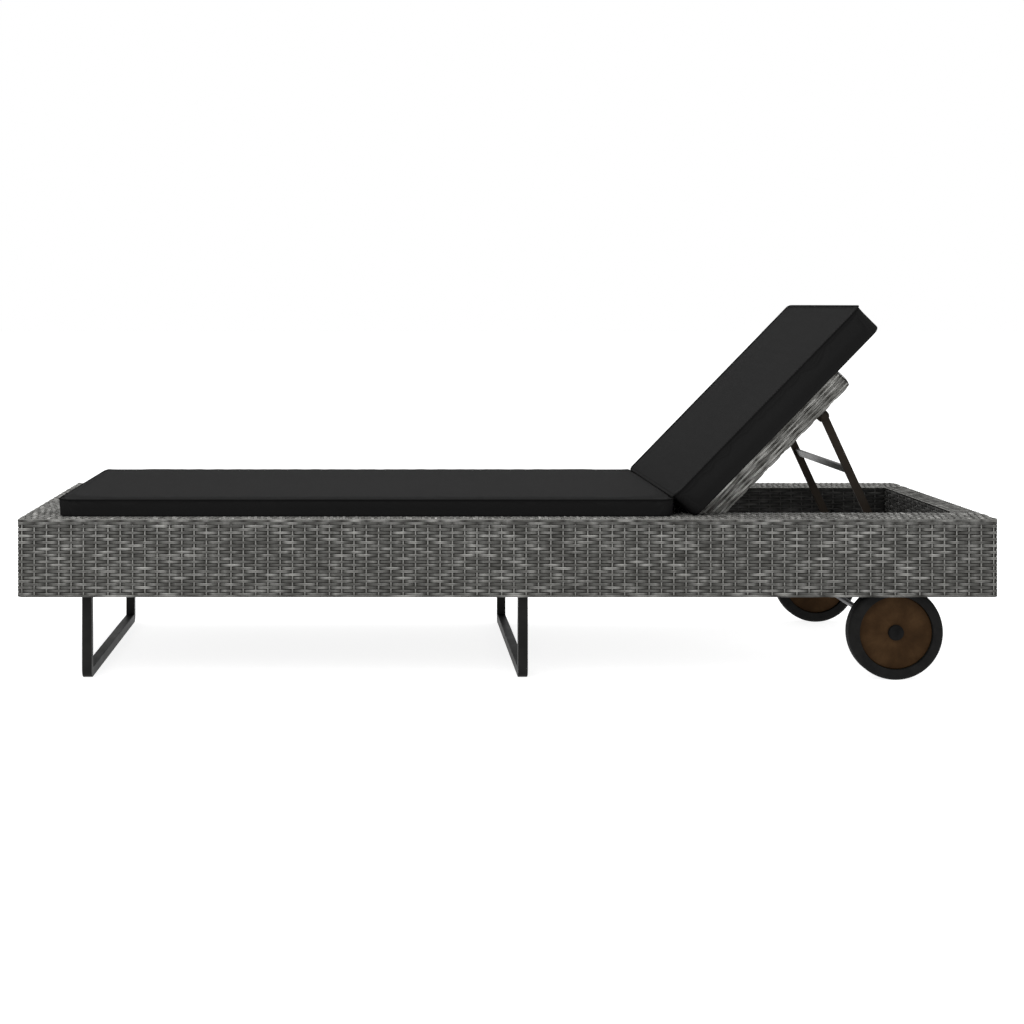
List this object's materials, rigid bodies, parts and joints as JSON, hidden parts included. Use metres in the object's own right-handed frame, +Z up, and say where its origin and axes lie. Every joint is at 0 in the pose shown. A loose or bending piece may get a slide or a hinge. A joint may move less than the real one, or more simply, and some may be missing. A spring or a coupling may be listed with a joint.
{
  "type": "reclining sun lounger",
  "caption": "Low woven sun lounger on sled legs and a pair of wheels, with a flat cushion and a padded backrest that reclines on a folding prop.",
  "frame": {"origin": "on the ground under the middle of the woven frame", "axes": "+X along the lounger towards the head end, +Y across it to the far side, +Z up"},
  "size_m": [2, 0.66, 0.7615],
  "materials": {
    "wicker": "woven flat synthetic strand, weathered grey",
    "cushion_fabric": "plain weave outdoor cloth, near black",
    "tyre_rubber": "matt solid rubber",
    "stained_wood": "dark stained hardwood, oiled",
    "black_plastic": "moulded black plastic",
    "zinc_steel": "zinc plated",
    "grey_steel": "dark grey powder coat",
    "black_steel": "black powder coat, satin",
    "prop_steel": "brown black powder coat"
  },
  "bodies": {
    "frame": {"axle": "zinc_steel", "axle_bracket_far": "black_steel", "axle_bracket_near": "black_steel", "axle_spacers": "zinc_steel", "axle_washers": "zinc_steel", "bracket_screws": "zinc_steel", "deck_bearers": "black_steel", "deck_panel": "wicker", "foot_end_rail": "black_steel", "foot_end_strip": "black_steel", "foot_skin": "wicker", "head_end_rail": "black_steel", "head_end_strip": "black_steel", "head_skin": "wicker", "hem_strips": "black_steel", "hinge_pin_far": "zinc_steel", "hinge_pin_near": "zinc_steel", "hinge_plates": "black_steel", "leg_bolts": "zinc_steel", "leg_foot": "black_steel", "leg_middle": "black_steel", "leg_plates": "black_steel", "leg_plugs": "black_plastic", "low_rail_far": "black_steel", "low_rail_near": "black_steel", "panel_stops": "black_steel", "rack_far": "black_steel", "rack_near": "black_steel", "rack_screws": "zinc_steel", "seat_cushion": "cushion_fabric", "side_ribs_far": "black_steel", "side_ribs_near": "black_steel", "side_skin_far": "wicker", "side_skin_near": "wicker", "top_inner_rail_far": "black_steel", "top_inner_rail_near": "black_steel", "top_outer_rail_far": "black_steel", "top_outer_rail_near": "black_steel", "well_rail": "black_steel"},
    "backrest": {"back_cross_tubes": "black_steel", "back_cushion": "cushion_fabric", "back_skin": "wicker", "back_tube_far": "black_steel", "back_tube_near": "black_steel", "hinge_bushes": "black_plastic", "prop_ears": "prop_steel", "prop_pins": "prop_steel"},
    "prop": {"prop_cross_bar": "grey_steel", "prop_foot_bar": "prop_steel", "prop_strut_far": "prop_steel", "prop_strut_near": "prop_steel"},
    "wheel_near": {"hub_cap_near": "black_plastic", "hub_near": "black_plastic", "tyre_near": "tyre_rubber", "wheel_disc_near": "stained_wood"},
    "wheel_far": {"hub_cap_far": "black_plastic", "hub_far": "black_plastic", "tyre_far": "tyre_rubber", "wheel_disc_far": "stained_wood"}
  },
  "joints": [
    {"name": "backrest_recline", "type": "hinge", "parent": "frame", "child": "backrest", "pos_m": [0.405, 0, 0.31], "axis": [0, 1, 0], "range_deg": [0, 45.8]},
    {"name": "prop_fold", "type": "hinge", "parent": "backrest", "child": "prop", "pos_m": [0.6793, 0, 0.53397], "axis": [0, 1, 0], "range_deg": [0, 68.8]},
    {"name": "wheel_near_spin", "type": "hinge", "parent": "frame", "child": "wheel_near", "pos_m": [0.798, -0.3005, 0.0975], "axis": [0, 1, 0], "continuous": true},
    {"name": "wheel_far_spin", "type": "hinge", "parent": "frame", "child": "wheel_far", "pos_m": [0.798, 0.3005, 0.0975], "axis": [0, 1, 0], "continuous": true}
  ],
  "couplings": [
    {"joint": "prop_fold", "follows": "backrest_recline", "ratio": 1.5022}
  ]
}
